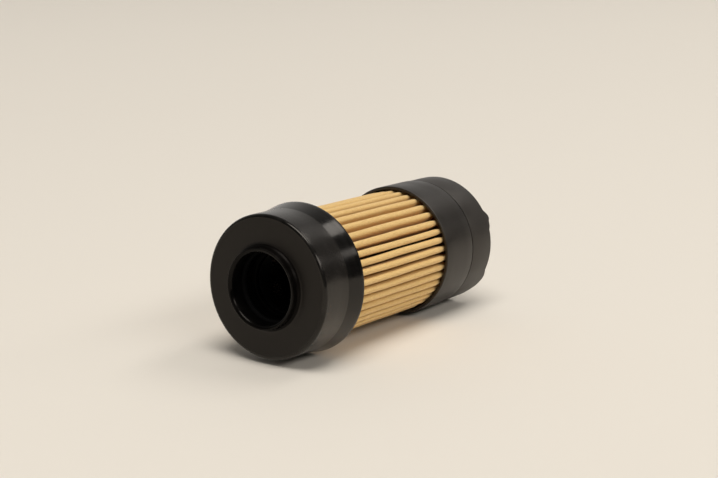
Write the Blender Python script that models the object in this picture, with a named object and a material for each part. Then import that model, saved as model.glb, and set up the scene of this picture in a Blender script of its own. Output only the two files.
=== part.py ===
"""Cartridge fuel filter element: pleated paper between two moulded end caps, with a bypass valve.

The element lies on its side. Its axis runs along +X, from the open near cap to the valve end.
Stations are distances in millimetres along the axis from the flat near face, and every turned
outline is a list of (station, radius) points. The origin is under the middle of the element,
level with the lowest point of the near cap.
"""

import math

import bmesh
import bpy
from mathutils import Matrix, Vector

MM = 0.001
GAP = 0.3
EDGE = 0.4

# Roundness of the turned pieces and of the drilled holes
ROUND = 40
SMALL_ROUND = 24
HOLE_SIDES = 8

# Near end cap
CAP_RADIUS = 23.0
NEAR_FACE_RADIUS = 21.8
NEAR_WAIST_RADIUS = 21.9
NEAR_WAIST = 11.3
NEAR_RIM = 17.6
NEAR_EDGE = 1.0
NEAR_FLOOR = 8.7
NEAR_MOUTH_RADIUS = 20.6
NEAR_CORING = 3.0
NEAR_CORING_RADII = (15.6, 19.6)
BORE_RADIUS = 10.8
BORE_DEPTH = 7.0
COLLAR_RADIUS = 12.2
COLLAR_HEIGHT = 2.85
COLLAR_INNER_LIP = 1.15
COLLAR_OUTER_LIP = 0.25
COLLAR_FILLET = 1.5
CORE_HOLE_RADIUS = 9.4
BORE_GROOVE = (2.2, 5.0)
BORE_GROOVE_RADIUS = 12.9
BORE_SEAL_SIZE = 1.1

# Pleat pack and support tube
PLEATS = 40
MEDIA_RADIUS = 19.8
MEDIA_START = 10.7
MEDIA_END = 71.0
PAPER = 0.5
TIP_RADIUS = 1.1
FOLD_RADIUS = 0.25
MEDIA_CORE_RADIUS = 10.6
TIP_STEPS = 4
FOLD_STEPS = 2
SEAM_RADII = (14.8, 18.4)
SEAM_THICKNESS = 0.36
TUBE_RADIUS = 10.2
TUBE_WALL = 0.6
TUBE_HOLE_RADIUS = 2.2
TUBE_HOLE_ROWS = 8
TUBE_HOLES_AROUND = 6
BOND_THICKNESS = 1.4
BOND_RADII = (10.5, 19.8)

# Far end cap and the cover behind it
FAR_RADIUS = 21.1
FAR_LIP = 66.8
FAR_MOUTH_RADIUS = 20.1
FAR_FLOOR = 73.0
FAR_FLOOR_THICKNESS = 3.0
FAR_SHOULDER = 82.4
FAR_BORE_RADIUS = 19.5
COVER_RADIUS = 20.5
COVER_SHOULDER_RADIUS = 20.9
COVER_SHOULDER = 83.0
COVER_FRONT = 76.8
COVER_END = 94.65
COVER_WALL_FRONT = 88.6
COVER_WALL_BACK = 91.6
COVER_CAVITY_RADIUS = 16.2
COVER_SPIGOT_RADIUS = FAR_BORE_RADIUS - GAP
COVER_RECESS_RADIUS = 17.8
COVER_SEAL_GROOVE = (78.8, 80.9)
COVER_SEAL_RADIUS = 18.45
COVER_SEAL_SIZE = 0.75
CLIP_GROOVE = (85.2, 86.9)
CLIP_GROOVE_RADIUS = 17.5
PORT_RADIUS = 7.3

# Bayonet tabs on the cover's rim, in two opposite pairs: the height, then the angles of the root
# and of the top, in degrees from the top of the element towards the -Y side
TAB_TURNS = (0.0, 180.0)
TAB_ROOT = 0.5
TAB_RADII = (18.1, 20.2)
NARROW_TAB = (1.65, (54.7, 77.6), (61.5, 66.5))
WIDE_TAB = (1.9, (113.0, 144.5), (124.5, 136.0))

# Bypass valve
SEAT_BORE_RADIUS = 4.6
SEAT_LIP = 87.1
SEAT_LIP_HEIGHT = 0.4
SEAT_LIP_STARTS = (0.6, 1.3, 1.9)
POPPET_RADIUS = 7.6
POPPET_BACK = 83.6
POPPET_FRONT = 85.0
STEM_RADIUS = 1.6
STEM_END = 62.5
STEM_WAIST_RADIUS = 1.1
NOSE_RADIUS = 1.7
NOSE_END = 88.4
SEAL_RADII = (2.0, 7.2)
RETAINER_RADII = (2.0, 3.8)
RETAINER_THICKNESS = 0.8
CLIP_STATION = 64.2
CLIP_THICKNESS = 0.6
CLIP_RADII = (1.4, 3.4)
CLIP_SPAN = (30.0, 330.0)
CAGE_RADIUS = 9.1
CAGE_INNER_RADIUS = 8.1
CAGE_START = 66.0
CAGE_PLATE = 1.5
CAGE_FLANGE = 86.9
CAGE_FLANGE_RADIUS = 15.8
CAGE_WINDOWS = 4
CAGE_WINDOW = (70.0, 84.5)
CAGE_WINDOW_HALF_SPAN = 22.0
CAGE_VENTS = 6
VENT_CIRCLE_RADIUS = 6.6
VENT_RADIUS = 1.0
RETAINING_RING = (85.5, 86.6)
RETAINING_RING_RADII = (13.8, 17.1)
RETAINING_RING_SPAN = (200.0, 520.0)
SPRING_COIL_RADIUS = 5.0
SPRING_WIRE_RADIUS = 0.5
SPRING_TURNS = 6
SPRING_STEPS = 10

LENGTH_MIDDLE = (COVER_END + WIDE_TAB[0] - COLLAR_HEIGHT) / 2
FULL_TURN = 2 * math.pi


def material(name, colour, roughness, metallic=0.0):
    """A Principled material."""
    made = bpy.data.materials.new(name)
    made.use_nodes = True
    shader = made.node_tree.nodes["Principled BSDF"]
    shader.inputs["Base Color"].default_value = (*colour, 1.0)
    shader.inputs["Roughness"].default_value = roughness
    shader.inputs["Metallic"].default_value = metallic
    made.diffuse_color = (*colour, 1.0)
    return made


def empty(name, station, parent=None):
    """A guide on the element's axis at a station."""
    guide = bpy.data.objects.new(name, None)
    bpy.context.scene.collection.objects.link(guide)
    guide.parent = parent
    guide.location.x = station * MM
    return guide


def finish(name, bm, at, parent, look, smooth=True):
    """Turn a bmesh drawn in stations into an object whose origin is on the axis at a station."""
    bmesh.ops.remove_doubles(bm, verts=bm.verts, dist=0.001)
    bmesh.ops.recalc_face_normals(bm, faces=bm.faces)
    for vert in bm.verts:
        vert.co.x -= at
        vert.co *= MM
    mesh = bpy.data.meshes.new(name)
    bm.to_mesh(mesh)
    bm.free()
    mesh.materials.append(look)
    if smooth:
        mesh.shade_smooth()
        mesh.set_sharp_from_angle(angle=math.radians(30))
    piece = bpy.data.objects.new(name, mesh)
    bpy.context.scene.collection.objects.link(piece)
    piece.parent = parent
    piece.location.x = at * MM
    return piece


def ring_point(station, radius, angle):
    """A point at an angle in radians from the top towards the -Y side."""
    return (station, -radius * math.sin(angle), radius * math.cos(angle))


def arc(station, radius, size, start, end, steps=4):
    """Outline points round a corner; 0 degrees points along +X and 90 degrees outwards."""
    points = []
    for step in range(steps + 1):
        angle = math.radians(start + (end - start) * step / steps)
        points.append((station + size * math.cos(angle), radius + size * math.sin(angle)))
    return points


def turned(name, outline, parent, look, at=0.0, sides=ROUND):
    """Spin an outline round the axis. An outline that starts and ends on the axis is solid.

    The polygon's flats touch the true circle, so one flat faces straight down.
    """
    bm = bmesh.new()
    stretch = 1 / math.cos(math.pi / sides)
    verts = [bm.verts.new(ring_point(x, r * stretch, math.pi / sides)) for x, r in outline]
    edges = [bm.edges.new(pair) for pair in zip(verts, verts[1:])]
    if outline[0][1] > 0:
        edges.append(bm.edges.new((verts[-1], verts[0])))
    bmesh.ops.spin(bm, geom=verts + edges, cent=(0, 0, 0), axis=(1, 0, 0), angle=FULL_TURN, steps=sides)
    return finish(name, bm, at, parent, look)


def o_ring(name, station, radius, size, parent, look):
    """A ring of round section."""
    turned(name, arc(station, radius, size, 0, 360, 8)[:-1], parent, look, station, SMALL_ROUND)


def arc_block(name, stations, radii, spans, steps, parent, look):
    """A block between two stations and two radii. spans gives its angles at each station."""
    bm = bmesh.new()
    sections = []
    for step in range(steps + 1):
        corners = []
        for station, (start, end) in zip(stations, spans):
            angle = math.radians(start + (end - start) * step / steps)
            corners.append([bm.verts.new(ring_point(station, r, angle)) for r in radii])
        sections.append((corners[0][0], corners[0][1], corners[1][1], corners[1][0]))
    for one, two in zip(sections, sections[1:]):
        for side in range(4):
            other = (side + 1) % 4
            bm.faces.new((one[side], one[other], two[other], two[side]))
    bm.faces.new(sections[0])
    bm.faces.new(sections[-1])
    return finish(name, bm, 0.0, parent, look, smooth=False)


def holes(name, lines, size, parent, look):
    """Plugs for drilled holes of one size, each along a line between two points."""
    bm = bmesh.new()
    for start, end in lines:
        along = Vector(end) - Vector(start)
        middle = Matrix.Translation((Vector(start) + Vector(end)) / 2)
        bmesh.ops.create_cone(
            bm, cap_ends=True, segments=HOLE_SIDES, radius1=size, radius2=size, depth=along.length,
            matrix=middle @ along.to_track_quat("Z", "Y").to_matrix().to_4x4(),
        )
    return finish(name, bm, 0.0, parent, look, smooth=False)


def boolean(piece, tool, operation="DIFFERENCE"):
    """Cut a piece with a tool, or join the tool to it, and hide the tool."""
    modifier = piece.modifiers.new(tool.name, "BOOLEAN")
    modifier.operation = operation
    modifier.object = tool
    tool.hide_render = True
    tool.display_type = "WIRE"


def near_end_cap(axis, look):
    """The open cap: raised collar round the bore, seal groove, cored back and a flared rim."""
    groove_start, groove_end = BORE_GROOVE
    coring_inner, coring_outer = NEAR_CORING_RADII
    inner_lip = BORE_RADIUS + COLLAR_INNER_LIP
    outer_lip = COLLAR_RADIUS - COLLAR_OUTER_LIP
    outline = arc(COLLAR_INNER_LIP - COLLAR_HEIGHT, inner_lip, COLLAR_INNER_LIP, 270, 180, 3)
    outline += arc(COLLAR_OUTER_LIP - COLLAR_HEIGHT, outer_lip, COLLAR_OUTER_LIP, 180, 90, 1)[1:]
    outline += arc(-COLLAR_FILLET, COLLAR_RADIUS + COLLAR_FILLET, COLLAR_FILLET, -90, 0, 2)
    outline += arc(NEAR_EDGE, NEAR_FACE_RADIUS - NEAR_EDGE, NEAR_EDGE, 180, 90, 3)
    outline += [
        (NEAR_WAIST, NEAR_WAIST_RADIUS),
        (NEAR_RIM - GAP, CAP_RADIUS),
        (NEAR_RIM, CAP_RADIUS - GAP),
        (NEAR_RIM, NEAR_MOUTH_RADIUS),
        (NEAR_FLOOR, NEAR_MOUTH_RADIUS),
        (NEAR_FLOOR, coring_outer),
        (NEAR_CORING, coring_outer),
        (NEAR_CORING, coring_inner),
        (NEAR_FLOOR, coring_inner),
        (NEAR_FLOOR, CORE_HOLE_RADIUS),
        (BORE_DEPTH, CORE_HOLE_RADIUS),
        (BORE_DEPTH, BORE_RADIUS),
        (groove_end, BORE_RADIUS),
        (groove_end, BORE_GROOVE_RADIUS),
        (groove_start, BORE_GROOVE_RADIUS),
        (groove_start, BORE_RADIUS),
    ]
    turned("near_end_cap", outline, axis, look)


def far_end_cap(axis, look):
    """The cap at the valve end: a dish for the pleats in front and a bore for the cover behind."""
    back = FAR_FLOOR + FAR_FLOOR_THICKNESS
    outline = [
        (FAR_LIP, FAR_MOUTH_RADIUS),
        (FAR_LIP, FAR_RADIUS - GAP),
        (FAR_LIP + GAP, FAR_RADIUS),
        (FAR_SHOULDER - GAP, FAR_RADIUS),
        (FAR_SHOULDER, FAR_RADIUS - GAP),
        (FAR_SHOULDER, FAR_BORE_RADIUS),
        (back, FAR_BORE_RADIUS),
        (back, CORE_HOLE_RADIUS),
        (FAR_FLOOR, CORE_HOLE_RADIUS),
        (FAR_FLOOR, FAR_MOUTH_RADIUS),
    ]
    turned("far_end_cap", outline, axis, look, at=FAR_LIP)


def end_cover(axis, look):
    """The valve housing that plugs into the far cap, with bayonet tabs on its rim."""
    seal_start, seal_end = COVER_SEAL_GROOVE
    seal_floor = COVER_SEAL_RADIUS - COVER_SEAL_SIZE - GAP
    clip_start, clip_end = CLIP_GROOVE
    outline = [
        (COVER_FRONT, COVER_CAVITY_RADIUS),
        (COVER_FRONT, COVER_SPIGOT_RADIUS),
        (seal_start, COVER_SPIGOT_RADIUS),
        (seal_start, seal_floor),
        (seal_end, seal_floor),
        (seal_end, COVER_SPIGOT_RADIUS),
        (COVER_SHOULDER, COVER_SPIGOT_RADIUS),
        (COVER_SHOULDER, COVER_SHOULDER_RADIUS),
        (COVER_END - EDGE, COVER_RADIUS),
        (COVER_END, COVER_RADIUS - EDGE),
        (COVER_END, COVER_RECESS_RADIUS),
        (COVER_WALL_BACK, COVER_RECESS_RADIUS),
        (COVER_WALL_BACK, PORT_RADIUS),
        (COVER_WALL_FRONT, PORT_RADIUS),
        (COVER_WALL_FRONT, COVER_CAVITY_RADIUS),
        (clip_end, COVER_CAVITY_RADIUS),
        (clip_end, CLIP_GROOVE_RADIUS),
        (clip_start, CLIP_GROOVE_RADIUS),
        (clip_start, COVER_CAVITY_RADIUS),
    ]
    cover = turned("end_cover", outline, axis, look)
    for pair, turn in enumerate(TAB_TURNS):
        for kind, (height, root, top) in (("narrow", NARROW_TAB), ("wide", WIDE_TAB)):
            stations = (COVER_END - TAB_ROOT, COVER_END + height)
            spans = [(start + turn, end + turn) for start, end in (root, top)]
            tab = arc_block(f"{kind}_tab_{pair}", stations, TAB_RADII, spans, 4, axis, look)
            boolean(cover, tab, "UNION")


def pleat_path():
    """Middle line of the folded paper, as (middle angle, out, side, sheet normal), for one turn."""
    tip = TIP_RADIUS - PAPER / 2
    fold = FOLD_RADIUS + PAPER / 2
    tip_centre = MEDIA_RADIUS - TIP_RADIUS
    fold_centre = MEDIA_CORE_RADIUS + fold + PAPER / 2
    path = []
    for half in range(2 * PLEATS):
        middle = math.pi * half / PLEATS
        if half % 2 == 0:
            size, centre, sign, steps = tip, tip_centre, 1, TIP_STEPS
        else:
            size, centre, sign, steps = fold, fold_centre, -1, FOLD_STEPS
        for step in range(steps + 1):
            swing = math.radians(180 * step / steps - 90)
            out = centre + sign * size * math.cos(swing)
            side = size * math.sin(swing)
            path.append((middle, out, side, (sign * math.sin(swing), math.cos(swing))))
    return path


def pleated_media(axis, look):
    """The paper, folded to and fro round the support tube."""
    bm = bmesh.new()
    rings = []
    for station, offsets in ((MEDIA_START, (1, -1)), (MEDIA_END, (-1, 1))):
        for offset in offsets:
            ring = []
            for middle, out, side, normal in pleat_path():
                up = out + offset * normal[1] * PAPER / 2
                across = side + offset * normal[0] * PAPER / 2
                turn = middle + math.atan2(across, up)
                ring.append(bm.verts.new(ring_point(station, math.hypot(up, across), turn)))
            rings.append(ring)
    count = len(rings[0])
    for one, two in zip(rings, rings[1:] + rings[:1]):
        for index in range(count):
            other = (index + 1) % count
            bm.faces.new((one[index], one[other], two[other], two[index]))
    return finish("pleated_media", bm, MEDIA_START, axis, look)


def media_seam_strip(axis, look):
    """The bead that closes the pleat pack, inside one pleat."""
    half = math.degrees(SEAM_THICKNESS / sum(SEAM_RADII))
    spans = ((-half, half), (-half, half))
    arc_block("media_seam_strip", (MEDIA_START, MEDIA_END), SEAM_RADII, spans, 1, axis, look)


def support_tube(axis, look):
    """The perforated steel core that holds the pleats up against the flow."""
    start = NEAR_FLOOR + GAP
    end = FAR_FLOOR - GAP
    inner = TUBE_RADIUS - TUBE_WALL
    outline = [(start, inner), (start, TUBE_RADIUS), (end, TUBE_RADIUS), (end, inner)]
    tube = turned("support_tube", outline, axis, look, at=start, sides=SMALL_ROUND)
    pitch = (end - start) / (TUBE_HOLE_ROWS + 1)
    radii = (inner - 1.0, TUBE_RADIUS + 1.0)
    lines = []
    for row in range(TUBE_HOLE_ROWS):
        station = start + pitch * (row + 1)
        for column in range(TUBE_HOLES_AROUND):
            angle = FULL_TURN * (column + 0.5 * (row % 2)) / TUBE_HOLES_AROUND
            lines.append([ring_point(station, radius, angle) for radius in radii])
    boolean(tube, holes("tube_holes", lines, TUBE_HOLE_RADIUS, axis, look))


def bond_ring(name, start, axis, look):
    """The adhesive disc that the paper's edge is set in."""
    end = start + BOND_THICKNESS
    inner, outer = BOND_RADII
    outline = [(start, inner), (start, outer), (end, outer), (end, inner)]
    turned(name, outline, axis, look, at=start)


def valve_seat(axis, look):
    """The brass seat ring in the cover's wall, with a raised lip for the poppet seal."""
    foot = SEAT_LIP + SEAT_LIP_HEIGHT
    rise, crest, fall = [SEAT_BORE_RADIUS + start for start in SEAT_LIP_STARTS]
    outline = [
        (foot, SEAT_BORE_RADIUS),
        (SEAT_LIP, rise),
        (SEAT_LIP, crest),
        (foot, fall),
        (foot, CAGE_INNER_RADIUS - GAP),
        (COVER_WALL_FRONT - GAP, CAGE_INNER_RADIUS - GAP),
        (COVER_WALL_FRONT - GAP, PORT_RADIUS - GAP),
        (COVER_WALL_BACK, PORT_RADIUS - GAP),
        (COVER_WALL_BACK, SEAT_BORE_RADIUS),
    ]
    turned("valve_seat", outline, axis, look, at=SEAT_LIP, sides=SMALL_ROUND)


def valve_cage(axis, look):
    """The windowed cage that guides the poppet and backs its spring."""
    flange_back = COVER_WALL_FRONT - GAP
    plate_back = CAGE_START + CAGE_PLATE
    outline = [
        (CAGE_START, STEM_RADIUS + GAP),
        (CAGE_START, CAGE_RADIUS - EDGE),
        (CAGE_START + EDGE, CAGE_RADIUS),
        (CAGE_FLANGE, CAGE_RADIUS),
        (CAGE_FLANGE, CAGE_FLANGE_RADIUS),
        (flange_back, CAGE_FLANGE_RADIUS),
        (flange_back, CAGE_INNER_RADIUS),
        (plate_back, CAGE_INNER_RADIUS),
        (plate_back, STEM_RADIUS + GAP),
    ]
    cage = turned("valve_cage", outline, axis, look, at=CAGE_START)
    radii = (CAGE_INNER_RADIUS - 1.0, CAGE_RADIUS + 1.0)
    for window in range(CAGE_WINDOWS):
        middle = 360.0 * (window + 0.5) / CAGE_WINDOWS
        span = (middle - CAGE_WINDOW_HALF_SPAN, middle + CAGE_WINDOW_HALF_SPAN)
        boolean(cage, arc_block(f"cage_window_{window}", CAGE_WINDOW, radii, (span, span), 3, axis, look))
    lines = []
    for vent in range(CAGE_VENTS):
        angle = FULL_TURN * vent / CAGE_VENTS
        stations = (CAGE_START - 1.0, plate_back + 1.0)
        lines.append([ring_point(station, VENT_CIRCLE_RADIUS, angle) for station in stations])
    boolean(cage, holes("cage_vents", lines, VENT_RADIUS, axis, look))


def retaining_ring(axis, look):
    """The open ring in the cover's groove that holds the cage's flange."""
    spans = (RETAINING_RING_SPAN, RETAINING_RING_SPAN)
    arc_block("cage_retaining_ring", RETAINING_RING, RETAINING_RING_RADII, spans, 32, axis, look)


def bypass_poppet(slide, look):
    """The poppet: a disc on a long stem, grooved for its clip, with a nose for the seal."""
    clip_end = CLIP_STATION + CLIP_THICKNESS
    outline = [
        (STEM_END, 0.0),
        (STEM_END, STEM_RADIUS - EDGE),
        (STEM_END + EDGE, STEM_RADIUS),
        (CLIP_STATION - GAP, STEM_RADIUS),
        (CLIP_STATION - GAP, STEM_WAIST_RADIUS),
        (clip_end + GAP, STEM_WAIST_RADIUS),
        (clip_end + GAP, STEM_RADIUS),
        (POPPET_BACK, STEM_RADIUS),
        (POPPET_BACK, POPPET_RADIUS),
        (POPPET_FRONT, POPPET_RADIUS),
        (POPPET_FRONT, NOSE_RADIUS),
        (NOSE_END - EDGE, NOSE_RADIUS),
        (NOSE_END, NOSE_RADIUS - EDGE),
        (NOSE_END, 0.0),
    ]
    turned("bypass_poppet", outline, slide, look, at=POPPET_FRONT, sides=SMALL_ROUND)


def washer(name, start, end, radii, parent, look):
    """A flat ring."""
    inner, outer = radii
    outline = [(start, inner), (start, outer), (end, outer), (end, inner)]
    turned(name, outline, parent, look, at=POPPET_FRONT, sides=SMALL_ROUND)


def stem_clip(slide, look):
    """The open clip that keeps the poppet in the cage."""
    stations = (CLIP_STATION, CLIP_STATION + CLIP_THICKNESS)
    arc_block("stem_clip", stations, CLIP_RADII, (CLIP_SPAN, CLIP_SPAN), 16, slide, look)


def bypass_spring(axis, look):
    """The coil spring between the cage's plate and the poppet's back, with a closed turn at each end."""
    wire = SPRING_WIRE_RADIUS
    start = CAGE_START + CAGE_PLATE + GAP + wire
    end = POPPET_BACK - GAP - wire
    closed = 2 * wire + GAP
    open_rise = end - start - 2 * closed
    curve = bpy.data.curves.new("bypass_spring", "CURVE")
    curve.dimensions = "3D"
    curve.bevel_depth = wire * MM
    curve.bevel_resolution = 1
    curve.use_fill_caps = True
    spline = curve.splines.new("POLY")
    spline.points.add(SPRING_TURNS * SPRING_STEPS)
    for index, point in enumerate(spline.points):
        turns = index / SPRING_STEPS
        rise = open_rise * min(max((turns - 1) / (SPRING_TURNS - 2), 0.0), 1.0)
        rise += closed * (min(turns, 1.0) + max(turns - SPRING_TURNS + 1, 0.0))
        x, y, z = ring_point(rise, SPRING_COIL_RADIUS, FULL_TURN * turns)
        point.co = (x * MM, y * MM, z * MM, 1.0)
    curve.materials.append(look)
    spring = bpy.data.objects.new("bypass_spring", curve)
    bpy.context.scene.collection.objects.link(spring)
    spring.parent = axis
    spring.location.x = start * MM


def clear_scene():
    """Remove whatever the scene holds."""
    for thing in list(bpy.data.objects):
        bpy.data.objects.remove(thing, do_unlink=True)


def main():
    clear_scene()
    black = material("black_plastic", (0.018, 0.017, 0.016), 0.32)
    paper = material("filter_paper", (0.82, 0.62, 0.34), 0.9)
    rubber = material("nitrile_rubber", (0.012, 0.012, 0.012), 0.55)
    adhesive = material("adhesive", (0.16, 0.10, 0.05), 0.5)
    steel = material("tinned_steel", (0.62, 0.62, 0.60), 0.35, 1.0)
    spring_steel = material("spring_steel", (0.42, 0.41, 0.40), 0.3, 1.0)
    brass = material("brass", (0.78, 0.57, 0.25), 0.3, 1.0)
    natural = material("natural_plastic", (0.80, 0.78, 0.70), 0.45)

    axis = empty("element_axis", -LENGTH_MIDDLE)
    axis.location.z = CAP_RADIUS * MM
    slide = empty("poppet_slide", 0.0, axis)

    near_end_cap(axis, black)
    seal_radius = BORE_GROOVE_RADIUS - GAP - BORE_SEAL_SIZE
    o_ring("bore_seal_ring", sum(BORE_GROOVE) / 2, seal_radius, BORE_SEAL_SIZE, axis, rubber)
    bond_ring("near_bond_ring", NEAR_FLOOR + GAP, axis, adhesive)
    pleated_media(axis, paper)
    media_seam_strip(axis, adhesive)
    support_tube(axis, steel)
    bond_ring("far_bond_ring", MEDIA_END + GAP, axis, adhesive)
    far_end_cap(axis, black)
    end_cover(axis, black)
    o_ring("cover_seal_ring", sum(COVER_SEAL_GROOVE) / 2, COVER_SEAL_RADIUS, COVER_SEAL_SIZE, axis, rubber)
    valve_seat(axis, brass)
    valve_cage(axis, black)
    retaining_ring(axis, spring_steel)
    bypass_spring(axis, spring_steel)
    bypass_poppet(slide, natural)
    washer("poppet_seal", POPPET_FRONT + GAP, SEAT_LIP - GAP, SEAL_RADII, slide, rubber)
    washer("seal_retainer", SEAT_LIP, SEAT_LIP + RETAINER_THICKNESS, RETAINER_RADII, slide, spring_steel)
    stem_clip(slide, spring_steel)


main()
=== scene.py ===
"""Looks of the cartridge fuel filter element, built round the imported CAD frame.

Stations and radii are in millimetres: a station is the distance along the element's axis from
the flat near face, and a radius is measured from that axis. Everything else is in metres.
Edge wear is a number from 0 to 1 that outline points may carry as a third value.
"""

import math

import bmesh
import bpy
import numpy as np
from mathutils import Matrix, Vector


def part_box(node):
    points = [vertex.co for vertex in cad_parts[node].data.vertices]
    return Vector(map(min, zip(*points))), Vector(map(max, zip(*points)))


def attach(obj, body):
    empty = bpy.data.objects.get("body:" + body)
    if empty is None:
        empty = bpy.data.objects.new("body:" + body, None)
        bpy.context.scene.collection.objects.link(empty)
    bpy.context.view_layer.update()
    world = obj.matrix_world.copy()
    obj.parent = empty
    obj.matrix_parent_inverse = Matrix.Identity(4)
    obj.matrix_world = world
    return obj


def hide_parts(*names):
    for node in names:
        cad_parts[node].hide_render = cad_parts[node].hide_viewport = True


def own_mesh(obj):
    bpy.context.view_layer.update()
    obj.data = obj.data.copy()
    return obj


MM = 0.001
TURN = 2 * math.pi

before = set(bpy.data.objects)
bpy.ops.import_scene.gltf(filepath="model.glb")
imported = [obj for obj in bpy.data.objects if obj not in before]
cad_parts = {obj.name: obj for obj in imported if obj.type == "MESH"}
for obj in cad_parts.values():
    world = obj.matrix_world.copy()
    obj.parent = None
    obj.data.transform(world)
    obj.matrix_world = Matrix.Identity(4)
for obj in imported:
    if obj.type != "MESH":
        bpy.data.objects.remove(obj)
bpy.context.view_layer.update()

# Sizes and places taken from the CAD model's boxes; the near cap's box starts at its collar
NEAR_LOW, NEAR_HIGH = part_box("near_end_cap")
FAR_LOW, FAR_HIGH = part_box("far_end_cap")
COVER_LOW, COVER_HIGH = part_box("end_cover")
MEDIA_LOW, MEDIA_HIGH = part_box("pleated_media")
COLLAR_HEIGHT = 2.85
AXIS_HEIGHT = (NEAR_LOW.z + NEAR_HIGH.z) / 2
FACE_X = NEAR_LOW.x + COLLAR_HEIGHT * MM
CAP_RADIUS = (NEAR_HIGH.z - NEAR_LOW.z) / 2 / MM
FAR_RADIUS = (FAR_HIGH.z - FAR_LOW.z) / 2 / MM
COVER_RADIUS = (COVER_HIGH.y - COVER_LOW.y) / 2 / MM
MEDIA_RADIUS = (MEDIA_HIGH.z - MEDIA_LOW.z) / 2 / MM

# The CAD model's bodies
ROOT = "element"
VALVE = "poppet"

# The panels' places and sizes are given for a metre above the sheet, and moved out by this
PANEL_SCALE = 3.0
WARM = (1.0, 0.965, 0.92)


def to_station(x):
    """A world X as a station."""
    return (x - FACE_X) / MM


def to_world(station, radius, angle):
    """A point at an angle in radians from the top towards the -Y side."""
    return Vector((
        FACE_X + station * MM,
        -radius * math.sin(angle) * MM,
        AXIS_HEIGHT + radius * math.cos(angle) * MM,
    ))


NEAR_RIM = to_station(NEAR_HIGH.x)
FAR_LIP = to_station(FAR_LOW.x)
FAR_SHOULDER = to_station(FAR_HIGH.x)
MEDIA_START = to_station(MEDIA_LOW.x)
MEDIA_END = to_station(MEDIA_HIGH.x)


# ---------------------------------------------------------------- materials


class Nodes:
    """A short way to write a node tree."""

    def __init__(self, material):
        self.tree = material.node_tree
        self.shader = self.tree.nodes["Principled BSDF"]
        self.coords = self.tree.nodes.new("ShaderNodeTexCoord").outputs["Object"]

    def add(self, kind, inputs=(), **settings):
        """A new node, its inputs given as (name or index, value or socket)."""
        node = self.tree.nodes.new(kind)
        for key, value in settings.items():
            setattr(node, key, value)
        for key, value in inputs:
            self.put(node.inputs[key], value)
        return node

    def put(self, socket, value):
        if isinstance(value, bpy.types.NodeSocket):
            self.tree.links.new(value, socket)
        else:
            socket.default_value = value

    def shade(self, name, value):
        """Set or feed an input of the surface shader."""
        self.put(self.shader.inputs[name], value)

    def tones(self, value, low, high, one, two):
        """Let the base colour go from one tone to another as a value rises from low to high."""
        self.shade("Base Color", self.blend(self.ramp(value, low, high), (*one, 1.0), (*two, 1.0)))

    def maths(self, operation, one, two=0.0, three=0.0):
        values = ((0, one), (1, two), (2, three))
        return self.add("ShaderNodeMath", values, operation=operation).outputs[0]

    def scaled(self, scale, origin=(0.0, 0.0, 0.0)):
        """Object coordinates moved to an origin and scaled."""
        moved = self.add("ShaderNodeVectorMath", ((0, self.coords), (1, origin)), operation="SUBTRACT")
        inputs = ((0, moved.outputs[0]), (1, scale))
        return self.add("ShaderNodeVectorMath", inputs, operation="MULTIPLY").outputs[0]

    def noise(self, vector, scale, detail=2.0, roughness=0.5):
        inputs = (("Vector", vector), ("Scale", scale), ("Detail", detail), ("Roughness", roughness))
        return self.add("ShaderNodeTexNoise", inputs).outputs["Fac"]

    def ramp(self, value, low, high, out_low=0.0, out_high=1.0):
        """A value mapped from one range to another, with its ends held."""
        inputs = ((0, value), (1, low), (2, high), (3, out_low), (4, out_high))
        return self.add("ShaderNodeMapRange", inputs).outputs[0]

    def blend(self, factor, one, two):
        """A colour between two colours."""
        node = self.add("ShaderNodeMix", data_type="RGBA")
        self.put(node.inputs[0], factor)
        self.put(node.inputs[6], one)
        self.put(node.inputs[7], two)
        return node.outputs[2]

    def bump(self, height, strength, distance, below=None):
        inputs = [("Height", height), ("Strength", strength), ("Distance", distance)]
        if below is not None:
            inputs.append(("Normal", below))
        return self.add("ShaderNodeBump", inputs).outputs["Normal"]

    def radius(self):
        """Distance from the element's axis, in metres."""
        split = self.add("ShaderNodeSeparateXYZ", ((0, self.scaled((1, 1, 1), (0, 0, AXIS_HEIGHT))),))
        return self.maths("SQRT", self.maths("MULTIPLY_ADD", split.outputs[1], split.outputs[1],
                          self.maths("MULTIPLY", split.outputs[2], split.outputs[2])))

    def along(self):
        """World X, in metres."""
        return self.add("ShaderNodeSeparateXYZ", ((0, self.coords),)).outputs[0]


def new_material(name, colour, roughness, metallic=0.0):
    made = bpy.data.materials.new(name)
    made.use_nodes = True
    nodes = Nodes(made)
    nodes.shade("Base Color", (*colour, 1.0))
    nodes.shade("Roughness", roughness)
    nodes.shade("Metallic", metallic)
    return made, nodes


def line_height(nodes, value, pitch, detail=3.0):
    """Fine lathe or tool lines: noise that changes only along one measure."""
    point = nodes.add("ShaderNodeCombineXYZ", ((0, value), (1, 0.0), (2, 0.0))).outputs[0]
    return nodes.noise(point, 1.0 / pitch, detail, 0.6)


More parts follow.
